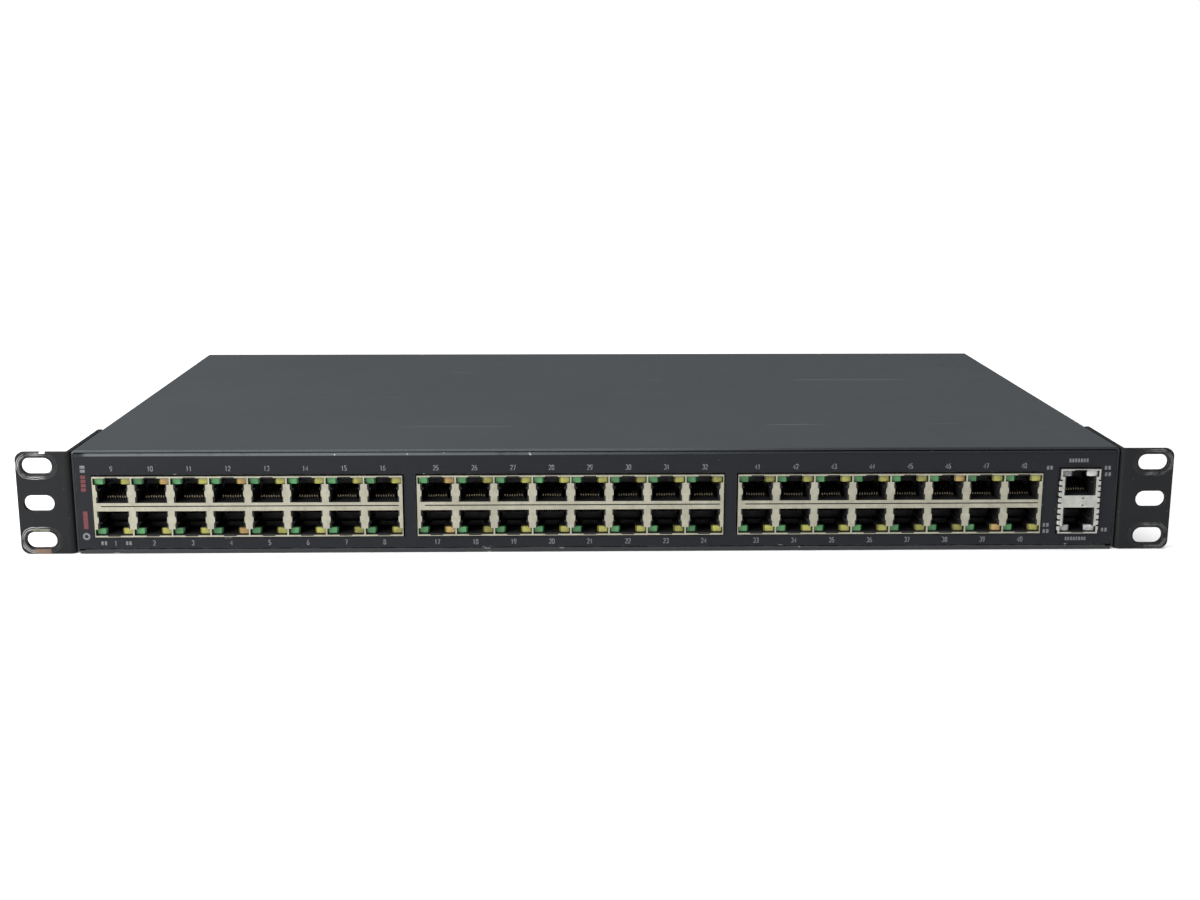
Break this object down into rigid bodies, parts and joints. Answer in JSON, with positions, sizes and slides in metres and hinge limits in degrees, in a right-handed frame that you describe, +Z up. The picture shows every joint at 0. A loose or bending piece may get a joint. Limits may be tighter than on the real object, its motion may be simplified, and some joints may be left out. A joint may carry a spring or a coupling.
{
  "type": "rackmount network switch",
  "caption": "One-unit rackmount network switch: folded steel case with slotted rack ears, stacked plug sockets along the front, mains inlet, rocker switch and fans at the rear.",
  "frame": {"origin": "under the middle of the whole part, on the surface the case stands on", "axes": "+X along the front panel to the right seen from the front, +Y from the front panel to the rear wall, +Z up"},
  "size_m": [0.4826, 0.2606, 0.044],
  "materials": {
    "charcoal_paint": "fine-textured charcoal powder coat",
    "ear_paint": "dark satin powder coat",
    "zinc_steel": "zinc plate, satin",
    "tinned_steel": "tin plate, slightly dull",
    "black_plastic": "moulded, satin",
    "clear_plastic": "clear moulding, lit green or yellow in use",
    "board_green": "solder-masked glass-epoxy board",
    "chip_black": "moulded, matt",
    "brass": "bright turned or stamped brass",
    "aluminium": "extruded, plain",
    "copper_winding": "iron-powder core under a copper winding",
    "capacitor_sleeve": "heat-shrink sleeve",
    "brown_wire": "wire insulation",
    "blue_wire": "wire insulation",
    "green_wire": "wire insulation",
    "grey_cable": "sleeved cable"
  },
  "bodies": {
    "case": {"base_pan": "charcoal_paint", "board_feed_cable": "grey_cable", "board_standoff_1": "brass", "board_standoff_2": "brass", "board_standoff_3": "brass", "board_standoff_4": "brass", "board_standoff_5": "brass", "board_standoff_6": "brass", "earth_lead": "green_wire", "fan_1_frame": "black_plastic", "fan_1_guard": "zinc_steel", "fan_2_frame": "black_plastic", "fan_2_guard": "zinc_steel", "front_panel": "charcoal_paint", "jack_block_1_housing": "black_plastic", "jack_block_1_lower_light_pipes": "clear_plastic", "jack_block_1_shield": "tinned_steel", "jack_block_1_upper_light_pipes": "clear_plastic", "jack_block_2_housing": "black_plastic", "jack_block_2_lower_light_pipes": "clear_plastic", "jack_block_2_shield": "tinned_steel", "jack_block_2_upper_light_pipes": "clear_plastic", "jack_block_3_housing": "black_plastic", "jack_block_3_lower_light_pipes": "clear_plastic", "jack_block_3_shield": "tinned_steel", "jack_block_3_upper_light_pipes": "clear_plastic", "left_ear_screw_1": "zinc_steel", "left_ear_screw_2": "zinc_steel", "left_ear_screw_3": "zinc_steel", "left_rack_ear": "ear_paint", "live_lead": "brown_wire", "main_board": "board_green", "mains_inlet": "black_plastic", "mains_inlet_earth_blade": "brass", "mains_inlet_live_blade": "brass", "mains_inlet_neutral_blade": "brass", "management_jack_housing": "black_plastic", "management_jack_lower_light_pipes": "clear_plastic", "management_jack_shield": "tinned_steel", "management_jack_upper_light_pipes": "clear_plastic", "memory_module": "board_green", "memory_socket": "chip_black", "neutral_lead": "blue_wire", "power_switch_frame": "black_plastic", "processor": "chip_black", "processor_heat_sink": "aluminium", "right_ear_screw_1": "zinc_steel", "right_ear_screw_2": "zinc_steel", "right_ear_screw_3": "zinc_steel", "right_rack_ear": "ear_paint", "supply_board": "board_green", "supply_capacitor": "capacitor_sleeve", "supply_heat_sink": "aluminium", "supply_transformer": "copper_winding", "supply_tray": "zinc_steel", "switched_lead": "brown_wire", "top_cover": "charcoal_paint"},
    "fan_1_wheel": {"fan_1_wheel": "black_plastic"},
    "fan_2_wheel": {"fan_2_wheel": "black_plastic"},
    "power_switch_rocker": {"power_switch_rocker": "black_plastic"}
  },
  "joints": [
    {"name": "fan_1_spin", "type": "hinge", "parent": "case", "child": "fan_1_wheel", "pos_m": [0.125, 0.11268, 0.0215], "axis": [0, 1, 0], "continuous": true},
    {"name": "fan_2_spin", "type": "hinge", "parent": "case", "child": "fan_2_wheel", "pos_m": [0.175, 0.11268, 0.0215], "axis": [0, 1, 0], "continuous": true},
    {"name": "power_switch_rock", "type": "hinge", "parent": "case", "child": "power_switch_rocker", "pos_m": [-0.128, 0.12478, 0.0215], "axis": [0, 0, -1], "range_deg": [0, 20]}
  ]
}
